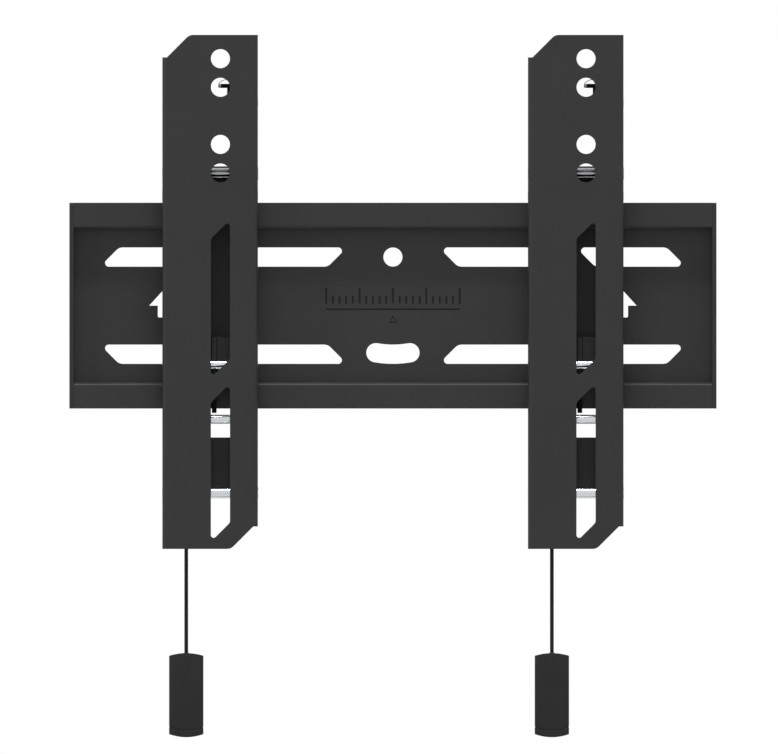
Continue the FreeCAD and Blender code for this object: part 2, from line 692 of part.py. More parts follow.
def spring_shape():
    """A tension spring bent from one wire: an eye, a coil and a second eye."""
    drop = number("bar_high - stop_high")
    wire = number("spring_wire")
    coil = number("spring_radius")
    steps = int(number("wire_steps"))
    eye = number("bar_radius + spring_wire + pin_fit") / math.cos(math.pi / steps)
    runs = steps * int(number("spring_turns"))
    gap = 2 * wire
    path = []
    for height, first in ((0, 270 + 360 / steps), (drop, 90)):
        loop = []
        for k in range(steps):
            angle = math.radians(first + 360 * k / steps)
            loop.append(FreeCAD.Vector(0, eye * math.cos(angle), height + eye * math.sin(angle)))
        path.append(loop)
    turns = []
    for k in range(runs + 1):
        angle = 2 * math.pi * k / steps + math.pi / 2
        height = -eye - gap + (drop + 2 * (eye + gap)) * k / runs
        turns.append(FreeCAD.Vector(coil * math.cos(angle), coil * math.sin(angle), height))
    points = path[0] + turns + path[1]
    ahead = (points[1] - points[0]).normalize()
    across = ahead.cross(FreeCAD.Vector(1, 0, 0)).normalize()
    over = across.cross(ahead)
    rim = []
    for k in range(WIRE_SIDES + 1):
        angle = 2 * math.pi * k / WIRE_SIDES
        rim.append(points[0] + over * (wire * math.cos(angle)) + across * (wire * math.sin(angle)))
    return Part.makePolygon(points).makePipeShell([Part.makePolygon(rim)], True, False, MITRED)


def return_spring(name, side):
    """The spring that lifts the slider again, from the stop pin to the cord bar."""
    spring = doc.addObject("Part::Feature", "Spring")
    spring.Shape = spring_shape()
    place(spring, side, "bar_depth", f"stop_high - {EDGE}", "spring_place")
    return node(spring, f"{name}_return_spring")


def bowed_block(side, upper_end, upper_crown, lower_end, lower_crown):
    """A flat block whose upper and lower ends are arcs with the given crowns."""
    body = new_body()
    sketch = sketch_on(body, "XZ_Plane", "-handle_depth / 2")
    half = number("handle_width / 2")
    levels = [number(text) for text in (upper_end, upper_crown, lower_end, lower_crown)]
    uprights = []
    for way in (1, -1):
        top = FreeCAD.Vector(way * half, levels[0], 0)
        foot = FreeCAD.Vector(way * half, levels[2], 0)
        line = sketch.addGeometry(Part.LineSegment(top, foot))
        pin_point(sketch, line, 1, f"{way} * handle_width / 2", upper_end)
        pin_point(sketch, line, 2, f"{way} * handle_width / 2", lower_end)
        uprights.append(line)
    for point, end, crown in ((1, upper_end, upper_crown), (2, lower_end, lower_crown)):
        rise = f"({end} - ({crown}))"
        swing = f"(handle_width ^ 2 / 4 + {rise} ^ 2) / (2 * {rise})"
        right = FreeCAD.Vector(half, number(end), 0)
        left = FreeCAD.Vector(-half, number(end), 0)
        centre = FreeCAD.Vector(0, number(crown) + number(swing), 0)
        arc, start = short_arc(sketch, centre, right, left)
        sketch.addConstraint([
            Sketcher.Constraint("Coincident", uprights[0], point, arc, start),
            Sketcher.Constraint("Coincident", uprights[1], point, arc, 3 - start),
        ])
        hold(sketch, "Radius", f"abs({swing})", arc)
    pad(body, sketch, "handle_depth")
    spots = []
    for x, y in ((1, 1), (1, -1), (-1, 1), (-1, -1)):
        spots.append(FreeCAD.Vector(x * half, y * number("handle_depth / 2"), 0))
    dress_edges(body, "PartDesign::Fillet", spots, FreeCAD.Vector(0, 0, 1), "Radius", "handle_round")
    place(body, side, "bar_depth", "0", "anchor_place")
    return body


def pull_handle(name, side):
    """The grip on the end of a cord, with a socket for the cord in its top."""
    body = bowed_block(side, "handle_top - handle_crown", "handle_top",
                       "handle_low + magnet_height + handle_belly", "handle_low + magnet_height")
    socket = sketch_on(body, "XY_Plane", "handle_top + cut_margin")
    circle(socket, "0", "0", "cord_radius")
    cutter = body.newObject("PartDesign::Pocket", "Pocket")
    cutter.Profile = socket
    cutter.SideType = "One side"
    bind(cutter, "Length", "cut_margin + cord_tuck")
    return node(body, f"{name}_pull_handle")


def handle_magnet(name, side):
    """The magnet foot under a grip, which parks it on the screen's back."""
    body = bowed_block(side, "handle_low + magnet_height + handle_belly", "handle_low + magnet_height",
                       "handle_low + handle_belly", "handle_low")
    return node(body, f"{name}_handle_magnet")


def cord_clip(name, side):
    """A small moulded clip on the right flange, behind the second screen hole."""
    body = new_body()
    shape = sketch_on(body, "XZ_Plane", "clip_back")
    tip = "clip_finger / 2 - 0.05"
    outline(shape, [
        ("clip_tip", "clip_top", tip),
        ("clip_place + clip_leaf", "clip_top"),
        ("clip_place + clip_leaf", "clip_low + clip_foot"),
        (ARM_INNER, "clip_low + clip_foot"),
        (ARM_INNER, "clip_low"),
        ("clip_place", "clip_low"),
        ("clip_place", "clip_top - clip_finger"),
        ("clip_tip", "clip_top - clip_finger", tip),
    ])
    pad(body, shape, "clip_depth")
    place(body, side, "0", f"{HOLE_TOP} - hole_pitch")
    return node(body, f"{name}_cord_clip")


wall_plate()
for name, side in ARMS:
    end_cap(name, side)
    arm_channel(name, side)
    hook_bracket(name, side)
    outside = "arm_width / 2 + pin_proud"
    inside = f"{ARM_INNER} - pin_fit"
    between = f"{LOCK_HALF} - lock_wall - pin_fit"
    cross_pin(f"{name}_hook_pin", side, "pin_radius", inside, outside,
              "hook_pin_depth", f"{EDGE} + hook_pin_high")
    cross_pin(f"{name}_stop_pin", side, "bar_radius", inside, inside,
              "bar_depth", f"stop_high - {EDGE}")
    cross_pin(f"{name}_guide_pin", side, "pin_radius", inside, outside,
              "guide_depth", f"guide_high - {EDGE}")
    cord_clip(name, side)
    lock_slider(name, side)
    cross_pin(f"{name}_cord_bar", side, "bar_radius", between, between,
              "bar_depth", f"bar_high - {EDGE}")
    cord_anchor(name, side)
    return_spring(name, side)
    pull_cord(name, side)
    pull_handle(name, side)
    handle_magnet(name, side)

doc.recompute()
for thing in doc.Objects:
    if "Invalid" in thing.State or "Error" in thing.State:
        raise RuntimeError(f"{thing.Label} failed: {thing.State}")
    if thing.isDerivedFrom("Sketcher::SketchObject") and not thing.FullyConstrained:
        raise RuntimeError(f"{thing.Label} is loose")
for part in nodes:
    if part.Shape.isNull() or not part.Shape.isValid() or part.Shape.Volume <= 0:
        raise RuntimeError(f"{part.Label} has no sound shape")

os.makedirs("parts", exist_ok=True)
for part in nodes:
    part.Shape.exportStep(f"parts/{part.Label}.step")
    box = part.Shape.BoundBox
    print(f"{part.Label:22s} {len(part.Shape.Solids)} solid, {part.Shape.Volume / 1000:8.3f} cm3, "
          f"X {box.XMin:7.2f} {box.XMax:7.2f}  Y {box.YMin:7.2f} {box.YMax:7.2f}  "
          f"Z {box.ZMin:7.2f} {box.ZMax:7.2f}")
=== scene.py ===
"""The looks of a flat wall mount for a screen: coated steel, bright pins, moulded caps, hanging grips."""
import json
import math

import bmesh
import bpy
from mathutils import Matrix, Vector


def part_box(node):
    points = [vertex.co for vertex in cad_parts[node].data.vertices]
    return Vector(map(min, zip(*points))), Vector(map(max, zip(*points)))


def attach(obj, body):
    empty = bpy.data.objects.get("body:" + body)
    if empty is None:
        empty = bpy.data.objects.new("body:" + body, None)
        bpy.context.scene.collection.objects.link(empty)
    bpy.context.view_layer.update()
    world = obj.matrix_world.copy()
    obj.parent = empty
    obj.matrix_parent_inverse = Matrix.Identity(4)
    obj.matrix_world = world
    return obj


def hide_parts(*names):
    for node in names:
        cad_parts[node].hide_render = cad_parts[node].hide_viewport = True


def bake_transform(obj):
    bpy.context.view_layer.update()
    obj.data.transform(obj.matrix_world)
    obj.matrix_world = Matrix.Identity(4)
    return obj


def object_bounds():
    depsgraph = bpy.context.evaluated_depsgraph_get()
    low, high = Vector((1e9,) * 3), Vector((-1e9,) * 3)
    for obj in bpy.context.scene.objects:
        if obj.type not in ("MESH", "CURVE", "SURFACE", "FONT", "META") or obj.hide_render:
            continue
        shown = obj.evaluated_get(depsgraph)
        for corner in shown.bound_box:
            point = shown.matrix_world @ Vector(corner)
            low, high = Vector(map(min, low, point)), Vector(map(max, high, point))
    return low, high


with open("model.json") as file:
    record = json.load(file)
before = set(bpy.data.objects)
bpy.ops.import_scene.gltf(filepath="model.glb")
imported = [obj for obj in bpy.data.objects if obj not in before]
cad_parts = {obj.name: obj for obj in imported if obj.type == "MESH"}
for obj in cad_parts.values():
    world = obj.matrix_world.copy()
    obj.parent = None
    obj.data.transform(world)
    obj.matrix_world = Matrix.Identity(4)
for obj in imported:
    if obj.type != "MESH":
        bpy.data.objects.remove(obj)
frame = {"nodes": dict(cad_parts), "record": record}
CAD_LOW, CAD_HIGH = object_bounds()

MM = 0.001
ARMS = ("left", "right")

# The photograph: its size and the place of the rail's middle in pixels, and the real size of a pixel
PHOTO_WIDTH = 778
PHOTO_HEIGHT = 754
RAIL_MIDDLE = (392.92, 305.64)
PIXEL = 0.547 * MM
CAMERA_BACK = 3.0
CAMERA_REACH = 20.0


# Small helpers
def middle(node):
    """The middle of a CAD node's box."""
    low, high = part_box(node)
    return (low + high) / 2


def put(name, data):
    """A new object of the scene."""
    thing = bpy.data.objects.new(name, data)
    bpy.context.scene.collection.objects.link(thing)
    return thing


def new_piece(name, mesh, material, body=None):
    """A new piece with its finish and the body that it rides on, if one."""
    thing = put(name, mesh)
    mesh.materials.clear()
    mesh.materials.append(material)
    if body:
        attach(thing, body)
    return thing


def bake(thing, name):
    """A plain mesh of an object as its modifiers leave it; the object goes."""
    graph = bpy.context.evaluated_depsgraph_get()
    mesh = bpy.data.meshes.new_from_object(thing.evaluated_get(graph))
    mesh.name = name
    bpy.data.objects.remove(thing)
    return mesh


def add(tree, kind, props=(), values=()):
    """One node of a tree, with its settings and what goes into its sockets."""
    made = tree.nodes.new(kind)
    for prop, value in dict(props).items():
        setattr(made, prop, value)
    for socket, value in dict(values).items():
        if isinstance(value, bpy.types.NodeSocket):
            tree.links.new(value, made.inputs[socket])
        else:
            made.inputs[socket].default_value = value
    return made


def reckon(tree, operation, first, second=0.0):
    """What a Math node makes of one or two values, each a number or a socket."""
    made = add(tree, "ShaderNodeMath", {"operation": operation}, {0: first, 1: second})
    return made.outputs[0]


def spread(tree, value, low, high):
    """A value from 0 to 1 brought between two others."""
    made = add(tree, "ShaderNodeMapRange", values={"Value": value, "To Min": low, "To Max": high})
    return made.outputs["Result"]


def camera():
    """Straight on to the rail, without perspective, as the photograph is."""
    lens = bpy.data.cameras.new("camera")
    lens.type = "ORTHO"
    lens.ortho_scale = PHOTO_WIDTH * PIXEL
    lens.clip_end = CAMERA_REACH
    thing = put("camera", lens)
    across = (PHOTO_WIDTH / 2 - RAIL_MIDDLE[0]) * PIXEL
    up = (RAIL_MIDDLE[1] - PHOTO_HEIGHT / 2) * PIXEL
    thing.location = (across, -CAMERA_BACK, up)
    thing.rotation_euler = (math.radians(90), 0, 0)
    bpy.context.scene.camera = thing


camera()


# Finishes
def tint(tree, factor, stops):
    """A ramp of two colours; stops are places and linear grey or red, green and blue values."""
    made = add(tree, "ShaderNodeValToRGB", values={"Fac": factor})
    for element, (spot, colour) in zip(made.color_ramp.elements, stops):
        shade = (colour,) * 3 if isinstance(colour, float) else colour
        element.position = spot
        element.color = (*shade, 1)
    return made.outputs["Color"]


def mottle(tree, factor, shade, swing, start=0.3):
    """A grey that swings by a share of itself with a noise, darkest up to the start and palest as far
    from the noise's top."""
    return tint(tree, factor, ((start, shade * (1 - swing)), (1 - start, shade * (1 + swing))))


def grains(tree, spot, size, detail=3.0):
    """A noise whose grains have a size in metres."""
    made = add(tree, "ShaderNodeTexNoise", values={"Vector": spot, "Scale": 1 / size, "Detail": detail})
    return made.outputs["Fac"]


def streaks(tree, spot, waves):
    """A noise drawn out along an axis; waves are how many it has in a metre of X, Y and Z."""
    drawn = add(tree, "ShaderNodeMapping", values={"Vector": spot, "Scale": waves})
    made = add(tree, "ShaderNodeTexNoise", values={"Vector": drawn.outputs["Vector"], "Scale": 1.0})
    return made.outputs["Fac"]


def relief(tree, height, depth, below=None):
    """A bump of a real depth in metres, on top of another one."""
    made = add(tree, "ShaderNodeBump", values={"Height": height, "Distance": depth})
    if below:
        tree.links.new(below, made.inputs["Normal"])
    return made.outputs["Normal"]


def new_finish(name):
    """An empty material, its tree, and the place on the object that it reads."""
    material = bpy.data.materials.new(name)
    material.use_nodes = True
    tree = material.node_tree
    tree.nodes.clear()
    spot = add(tree, "ShaderNodeTexCoord").outputs["Object"]
    return material, tree, spot


def close_finish(tree, colour, rough, normal, values=()):
    """The surface at the end of a material's tree."""
    surface = add(tree, "ShaderNodeBsdfPrincipled", values={
        "Base Color": colour, "Roughness": rough, "Normal": normal, **dict(values)})
    add(tree, "ShaderNodeOutputMaterial", values={"Surface": surface.outputs["BSDF"]})


def powder_coat(name, shade, gloss=0.42):
    """Black powder coat: a fine orange peel with a little sparkle in its gloss."""
    material, tree, spot = new_finish(name)
    clouds = grains(tree, spot, size=24 * MM, detail=2.0)
    peel = grains(tree, spot, size=0.9 * MM)
    dust = grains(tree, spot, size=0.22 * MM, detail=1.0)
    colour = mottle(tree, clouds, shade, swing=0.04)
    sparkle = 0.08
    rough = spread(tree, dust, gloss - sparkle, gloss + sparkle)
    peeled = relief(tree, peel, depth=0.012 * MM)
    normal = relief(tree, dust, depth=0.004 * MM, below=peeled)
    close_finish(tree, colour, rough, normal, {"Specular IOR Level": 0.2})
    return material


def moulded(name, shade, gloss, texture, shine=0.22):
    """Moulded black plastic with the fine pits of its mould."""
    material, tree, spot = new_finish(name)
    clouds = grains(tree, spot, size=15 * MM, detail=2.0)
    pits = add(tree, "ShaderNodeTexVoronoi", values={"Vector": spot, "Scale": 1 / texture})
    colour = mottle(tree, clouds, shade, swing=0.05)
    wear = 0.04
    rough = spread(tree, clouds, gloss - wear, gloss + wear)
    normal = relief(tree, pits.outputs["Distance"], depth=0.01 * MM)
    close_finish(tree, colour, rough, normal, {"Specular IOR Level": shine})
    return material


def zinc(name, shade, gloss=0.12):
    """Bright zinc plate on turned bar: fine rings in its gloss and a faint blue cloud."""
    material, tree, spot = new_finish(name)
    rings = streaks(tree, spot, waves=(6000, 150, 150))
    clouds = grains(tree, spot, size=5 * MM, detail=2.0)
    plain = (shade * 0.98, shade, shade * 1.01)
    bluer = (shade * 0.93, shade * 0.97, shade)
    colour = tint(tree, clouds, ((0.35, plain), (0.65, bluer)))
    rough = spread(tree, rings, low=gloss - 0.03, high=gloss + 0.05)
    normal = relief(tree, clouds, depth=0.002 * MM)
    close_finish(tree, colour, rough, normal, {"Metallic": 1.0})
    return material


def braid(name, shade):
    """Dull black nylon yarn. Its grey follows the same streaks as its bump, lighter on the fibres' crowns
    and darker between them: painted shade.
    """
    material, tree, spot = new_finish(name)
    fibres = streaks(tree, spot, waves=(9000, 9000, 1500))
    colour = mottle(tree, fibres, shade, swing=0.3, start=0.25)
    normal = relief(tree, fibres, depth=0.02 * MM)
    close_finish(tree, colour, rough=0.8, normal=normal, values={
        "Specular IOR Level": 0.2, "Sheen Weight": 0.05})
    return material


RAIL_COAT = powder_coat("rail_coat", shade=0.0275)
ARM_COAT = powder_coat("arm_coat", shade=0.0267)
# The latch coat is darker than the arm's coat: painted shade for the slider, which lies behind the arm.
SHADED_LATCH_COAT = powder_coat("shaded_latch_coat", shade=0.0245)
# The scale's coat is near black: painted shade, standing for the shade that the pressed marks hold.
SCALE_SHADE_COAT = powder_coat("scale_shade_coat", shade=0.005, gloss=0.55)
CAP_PLASTIC = moulded("cap_plastic", shade=0.022, gloss=0.45, texture=0.5 * MM)
GRIP_PLASTIC = moulded("grip_plastic", shade=0.0225, gloss=0.45, texture=0.35 * MM, shine=0.1)
MAGNET_PLASTIC = moulded("magnet_plastic", shade=0.0215, gloss=0.5, texture=0.35 * MM, shine=0.1)
NYLON = moulded("nylon", shade=0.004, gloss=0.75, texture=0.6 * MM, shine=0.08)
PIN_ZINC = zinc("pin_zinc", shade=0.64)
# A darker copy of the pin zinc, which paints the shade that the hook pin lies in; the clip's tip has it
# too.
SHADED_ZINC = zinc("shaded_zinc", shade=0.34)
SPRING_STEEL = zinc("spring_steel", shade=0.40, gloss=0.25)
CORD_YARN = braid("cord_yarn", shade=0.009)

FINISHES = {
    "coated_rail_steel": RAIL_COAT,
    "coated_arm_steel": ARM_COAT,
    "coated_latch_steel": SHADED_LATCH_COAT,
    "cap_plastic": CAP_PLASTIC,
    "grip_plastic": GRIP_PLASTIC,
    "magnet_foot": MAGNET_PLASTIC,
    "black_nylon": NYLON,
    "zinc_steel": PIN_ZINC,
    "spring_steel": SPRING_STEEL,
    "braided_cord": CORD_YARN,
}


# Geometry Nodes trees
def new_tree(name, sizes):
    """A tree with a named input for each size, and the sockets that give them."""
    tree = bpy.data.node_groups.new(name, "GeometryNodeTree")
    tree.interface.new_socket("Geometry", in_out="INPUT", socket_type="NodeSocketGeometry")
    for label in sizes:
        tree.interface.new_socket(label, in_out="INPUT", socket_type="NodeSocketFloat")
    tree.interface.new_socket("Geometry", in_out="OUTPUT", socket_type="NodeSocketGeometry")
    return tree, add(tree, "NodeGroupInput").outputs


def close_tree(tree, shape, material):
    """End a tree with real geometry that has its finish."""
    real = add(tree, "GeometryNodeRealizeInstances", values={"Geometry": shape})
    smooth = add(tree, "GeometryNodeSetShadeSmooth", values={"Geometry": real.outputs["Geometry"]})
    coated = add(tree, "GeometryNodeSetMaterial", values={"Geometry": smooth.outputs["Geometry"]})
    coated.inputs["Material"].default_value = material
    add(tree, "NodeGroupOutput", values={"Geometry": coated.outputs["Geometry"]})


def vector(tree, **parts):
    """A vector put together from its X, Y and Z."""
    return add(tree, "ShaderNodeCombineXYZ", values=parts).outputs["Vector"]


def circle(tree, sides, radius):
    """A round line about the origin."""
    made = add(tree, "GeometryNodeCurvePrimitiveCircle", values={"Resolution": sides, "Radius": radius})
    return made.outputs["Curve"]


def tube(tree, line, sides, radius):
    """Round stock along a line."""
    made = add(tree, "GeometryNodeCurveToMesh", values={
        "Curve": line, "Profile Curve": circle(tree, sides, radius), "Fill Caps": True})
    return made.outputs["Mesh"]


def moved(tree, shape, **how):
    """A shape with a Translation, a Rotation or a Scale."""
    return add(tree, "GeometryNodeTransform", values={"Geometry": shape, **how}).outputs["Geometry"]


def joined(tree, *shapes):
    """Several shapes as one."""
    made = add(tree, "GeometryNodeJoinGeometry")
    for shape in shapes:
        tree.links.new(shape, made.inputs["Geometry"])
    return made.outputs["Geometry"]


def grow(name, tree, sizes, start):
    """The plain mesh that a tree makes of a starting mesh with these sizes."""
    thing = put(name, start)
    build = thing.modifiers.new("build", "NODES")
    build.node_group = tree
    for item in tree.interface.items_tree:
        if item.name in sizes:
            build[item.identifier] = sizes[item.name]
    return bake(thing, name)


# Meshes
SHARP = math.radians(50)
EDGE_STEPS = 3


def dots(name, places):
    """A mesh of single points."""
    mesh = bpy.data.meshes.new(name)
    mesh.from_pydata(places, [], [])
    return mesh


def chain(name, places):
    """A mesh of points joined one to the next."""
    mesh = bpy.data.meshes.new(name)
    mesh.from_pydata(places, [(k, k + 1) for k in range(len(places) - 1)], [])
    return mesh


def close_mesh(name, shape):
    """The smooth mesh that a bmesh makes, with its faces outwards."""
    mesh = bpy.data.meshes.new(name)
    bmesh.ops.recalc_face_normals(shape, faces=shape.faces)
    shape.to_mesh(mesh)
    shape.free()
    mesh.shade_smooth()
    return mesh


def skin(name, rings, ends=None):
    """A mesh over rings of places. The faces at its two ends have these corners of a ring, and where
    none are given the last ring meets the first."""
    shape = bmesh.new()
    loops = [[shape.verts.new(place) for place in ring] for ring in rings]
    following = loops[1:] if ends else loops[1:] + loops[:1]
    for first, second in zip(loops, following):
        for n in range(len(first)):
            after = (n + 1) % len(first)
            shape.faces.new((first[n], first[after], second[after], second[n]))
    if ends:
        for loop in (loops[0], loops[-1]):
            for corners in ends:
                shape.faces.new([loop[n] for n in corners])
    return close_mesh(name, shape)


def extruded(name, outline, back, front, broken):
    """A solid from an outline of x and z pairs, between two depths, with its edges broken."""
    shape = bmesh.new()
    face = shape.faces.new([shape.verts.new((x, back, z)) for x, z in outline])
    grown = bmesh.ops.extrude_face_region(shape, geom=[face])
    pushed = [item for item in grown["geom"] if isinstance(item, bmesh.types.BMVert)]
    bmesh.ops.translate(shape, verts=pushed, vec=(0, front - back, 0))
    bmesh.ops.bevel(shape, geom=list(shape.edges), offset=broken, segments=EDGE_STEPS, affect="EDGES",
                    profile=0.5)
    mesh = close_mesh(name, shape)
    mesh.set_sharp_from_angle(angle=SHARP)
    return mesh


# Broken edges of the CAD nodes
SHEET_EDGE = 0.2 * MM
MOULDED_EDGE = 0.3 * MM
SAME_PLACE = 0.001 * MM
SAME_PLANE = math.radians(0.5)
BROKEN_FROM = math.radians(35)
BROKEN_STEPS = 2


def smoothing_tree():
    """Shades a node's faces smooth and keeps its real edges sharp."""
    tree, given = new_tree("smoothing", ("Sharp angle",))
    angle = add(tree, "GeometryNodeInputMeshEdgeAngle")
    sharp = add(tree, "FunctionNodeCompare", {"operation": "GREATER_THAN"}, {
        "A": angle.outputs["Unsigned Angle"], "B": given["Sharp angle"]})
    faces = add(tree, "GeometryNodeSetShadeSmooth", {"domain": "FACE"}, {"Geometry": given["Geometry"]})
    edges = add(tree, "GeometryNodeSetShadeSmooth", {"domain": "EDGE"}, {
        "Geometry": faces.outputs["Geometry"], "Selection": sharp.outputs["Result"],
        "Shade Smooth": False})
    add(tree, "NodeGroupOutput", values={"Geometry": edges.outputs["Geometry"]})
    return tree


SMOOTHING = smoothing_tree()
SMOOTHING_ANGLE = next(
    item.identifier for item in SMOOTHING.interface.items_tree if item.name == "Sharp angle")


def soften(node, width):
    """Break a CAD node's sharp edges as deburring, coating and moulding do."""
    thing = frame["nodes"][node]
    weld = thing.modifiers.new("weld", "WELD")
    weld.merge_threshold = SAME_PLACE
    flat = thing.modifiers.new("flat", "DECIMATE")
    flat.decimate_type = "DISSOLVE"
    flat.angle_limit = SAME_PLANE
    edge = thing.modifiers.new("edge", "BEVEL")
    edge.width = width
    edge.segments = BROKEN_STEPS
    edge.limit_method = "ANGLE"
    edge.angle_limit = BROKEN_FROM
    smooth = thing.modifiers.new("smooth", "NODES")
    smooth.node_group = SMOOTHING
    smooth[SMOOTHING_ANGLE] = SHARP
    even = thing.modifiers.new("even", "WEIGHTED_NORMAL")
    even.keep_sharp = True


# Grips and feet
GRIP_CROWN = 1.3 * MM
GRIP_BELLY = 1.55 * MM
GRIP_ROUND = 2.2 * MM
GRIP_RIM = 0.45 * MM
GRIP_COLUMNS = 24
CORNER_STEPS = 6
GRIP_RIM_STEPS = 4


def half_outline(width, depth):
    """Half of a rounded rectangle's outline, from its left end to its right end, as x and depth pairs."""
    reach = width / 2 - GRIP_ROUND
    inward = depth / 2 - GRIP_ROUND
    spots = [(-width / 2, 0.0)]
    for k in range(CORNER_STEPS + 1):
        turn = math.pi / 2 * k / CORNER_STEPS
        spots.append((-reach - GRIP_ROUND * math.cos(turn), inward + GRIP_ROUND * math.sin(turn)))
    for k in range(1, GRIP_COLUMNS):
        spots.append((-reach + 2 * reach * k / GRIP_COLUMNS, depth / 2))
    for k in range(CORNER_STEPS + 1):
        turn = math.pi / 2 * (1 - k / CORNER_STEPS)
        spots.append((reach + GRIP_ROUND * math.cos(turn), inward + GRIP_ROUND * math.sin(turn)))
    spots.append((width / 2, 0.0))
    return spots


def strips_across(half):
    """The corners of the faces that close a ring with strips from its first half to its second."""
    count = 2 * half - 2
    strips = []
    for n in range(half - 1):
        corners = (n, n + 1, (-n - 1) % count, -n % count)
        strips.append(list(dict.fromkeys(corners)))
    return strips


def bowed_block(name, centre, width, depth, upper, lower):
    """A rounded block with bowed ends; upper and lower are the heights of an end's corners and middle."""
    half = half_outline(width, depth)
    outline = half + [(x, -y) for x, y in reversed(half[1:-1])]
    levels = []
    for k in range(GRIP_RIM_STEPS + 1):
        turn = math.pi / 2 * k / GRIP_RIM_STEPS
        levels.append((lower, GRIP_RIM * (1 - math.sin(turn)), GRIP_RIM * (1 - math.cos(turn))))
    for k in range(GRIP_RIM_STEPS + 1):
        turn = math.pi / 2 * (1 - k / GRIP_RIM_STEPS)
        levels.append((upper, GRIP_RIM * (1 - math.sin(turn)), -GRIP_RIM * (1 - math.cos(turn))))
    rings = []
    for (corner, crown), inset, rise in levels:
        ring = []
        for x, y in outline:
            across = centre.x + x * (1 - 2 * inset / width)
            inward = centre.y + y * (1 - 2 * inset / depth)
            bow = 1 - (2 * x / width) ** 2
            ring.append((across, inward, corner + (crown - corner) * bow + rise))
        rings.append(ring)
    return skin(name, rings, strips_across(len(half)))


def hanging_block(node, name, finish, body, corner_drop, middle_drop):
    """A moulded block in the place of a plain CAD one, with how far its top drops at corners and middle."""
    low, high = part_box(node)
    size = high - low
    upper = (high.z - corner_drop, high.z - middle_drop)
    lower = (low.z + GRIP_BELLY, low.z)
    mesh = bowed_block(name, middle(node), size.x, size.y, upper, lower)
    piece = new_piece(name, mesh, finish, body)
    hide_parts(node)
    return piece


def moulded_grip(arm):
    """The grip, with a crowned top and a bowed lower end."""
    return hanging_block(f"{arm}_pull_handle", f"{arm}_moulded_grip", GRIP_PLASTIC,
                         f"{arm}_latch", corner_drop=GRIP_CROWN, middle_drop=0.0)


def bowed_foot(arm):
    """The foot under the grip. Its top sinks where the grip's lower end hangs, which is the bowed seam."""
    return hanging_block(f"{arm}_handle_magnet", f"{arm}_bowed_foot", MAGNET_PLASTIC,
                         f"{arm}_latch", corner_drop=0.0, middle_drop=GRIP_BELLY)


# Cords
CORD_RADIUS = 1.05 * MM
CORD_SIDES = 32
CORD_STEP = 0.3 * MM
CORD_TOP_RUN = 12 * MM
CORD_END_RUN = 20 * MM
# Heights of the route's two points between those runs
CORD_HEIGHTS = (-118 * MM, -150 * MM)
ROUTE_STEPS = 24
STRANDS = 8
STRAND_ROUND = 0.6
BRAID_PITCH = 7 * MM
BRAID_DEPTH = 0.12 * MM


def cord_route(arm):
    """The route's own points: out of the anchor's neck and straight down into the grip."""
    spot = middle(f"{arm}_pull_cord")
    low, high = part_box(f"{arm}_pull_cord")
    heights = (high.z, high.z - CORD_TOP_RUN, *CORD_HEIGHTS, low.z + CORD_END_RUN, low.z)
    return [Vector((spot.x, spot.y, height)) for height in heights]


def route_line(name, points):
    """Points along the smooth line that a route's points steer."""
    curve = bpy.data.curves.new(name, "CURVE")
    curve.dimensions = "3D"
    spline = curve.splines.new("NURBS")
    spline.points.add(len(points) - 1)
    for point, spot in zip(spline.points, points):
        point.co = (*spot, 1)
    spline.order_u = 3
    spline.use_endpoint_u = True
    spline.resolution_u = ROUTE_STEPS
    mesh = bake(put(name, curve), name)
    line = [vertex.co.copy() for vertex in mesh.vertices]
    bpy.data.meshes.remove(mesh)
    return line


def line_length(line):
    """The length of a line of points."""
    return sum((b - a).length for a, b in zip(line, line[1:]))


def even_line(line, step):
    """The same line in runs of one length."""
    total = line_length(line)
    count = round(total / step)
    spots = []
    walked = 0.0
    k = 0
    for n in range(count + 1):
        target = total * n / count
        while k < len(line) - 2 and walked + (line[k + 1] - line[k]).length < target:
            walked += (line[k + 1] - line[k]).length
            k += 1
        run = line[k + 1] - line[k]
        spots.append(line[k] + run * ((target - walked) / run.length))
    return spots


def strand_height(turn, travel):
    """How far the braid's two sets of strands stand up at a place, from 0 to 1."""
    twist = math.tau * travel / BRAID_PITCH
    right = math.cos(STRANDS / 2 * (turn + twist))
    left = math.cos(STRANDS / 2 * (turn - twist))
    return max(abs(right), abs(left)) ** STRAND_ROUND


def braided_cord(arm, grip, foot):
    """The pull cord as a braided tube round its route. The grip and foot that it is given are not used."""
    points = cord_route(arm)
    line = route_line(f"{arm}_route", points)
    rings = []
    for k, spot in enumerate(even_line(line, CORD_STEP)):
        ring = []
        for n in range(CORD_SIDES):
            turn = math.tau * n / CORD_SIDES
            size = CORD_RADIUS - BRAID_DEPTH * (1 - strand_height(turn, k * CORD_STEP))
            ring.append(spot + Vector((math.cos(turn), math.sin(turn), 0)) * size)
        rings.append(ring)
    mesh = skin(f"{arm}_braided_cord", rings, [range(CORD_SIDES)])
    cord = new_piece(f"{arm}_braided_cord", mesh, CORD_YARN, f"{arm}_latch")
    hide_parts(f"{arm}_pull_cord")


for arm in ARMS:
    braided_cord(arm, moulded_grip(arm), bowed_foot(arm))


# Turned pieces
TURNED_SIDES = 56
TURNED_SHARP = math.radians(32)
PIN_BEVEL = 0.4 * MM
FLANGE = 2.05 * MM
NECK = 0.7 * MM
PEEN_REACH = 0.35 * MM
PEEN_HEIGHT = 0.12 * MM
HEAD_REACH = 0.45 * MM
HEAD_HEIGHT = 0.28 * MM
# Shares of the peen's height and of the neck, where a riveted end is dished
DISH = (0.4, 0.45)
# Shares of a head's height and reach, where its edge is rounded
HEAD_ROUND = (0.6, 0.8)
# A headed pin's box is as high as its head, so its own radius is given
HEADED_PIN_RADIUS = 3.0 * MM


